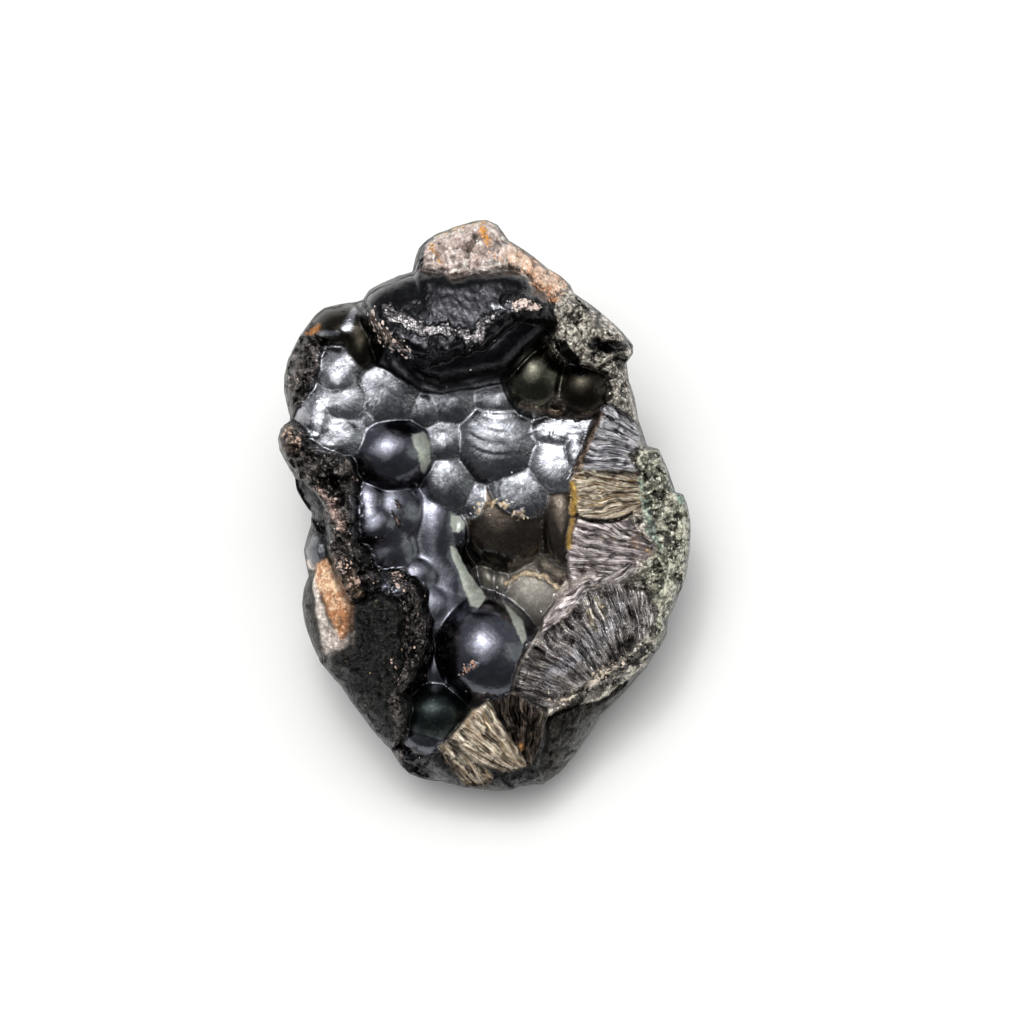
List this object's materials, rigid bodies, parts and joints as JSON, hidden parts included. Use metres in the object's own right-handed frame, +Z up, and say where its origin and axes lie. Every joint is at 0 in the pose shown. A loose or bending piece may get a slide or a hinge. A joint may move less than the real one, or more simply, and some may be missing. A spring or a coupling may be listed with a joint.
{
  "type": "hematite specimen",
  "caption": "Botryoidal hematite hand specimen lying on its back: a hollow lined with glossy black rounded domes, with a rough ledge, fibrous broken bands and granular crust around it.",
  "frame": {"origin": "middle of the bounding box's underside, on the flat patch the specimen lies on", "axes": "+X to the right across the broken face, +Y towards the peak and the ledge, +Z up; the face looks up and leans 15 degrees towards -Y"},
  "size_m": [0.108, 0.142, 0.0834],
  "materials": {
    "hematite": "glossy grey-black domes with a metallic sheen; earthy tan, ochre and grey-green broken faces and crust around them"
  },
  "bodies": {
    "root": {"hematite": "hematite"}
  },
  "joints": []
}
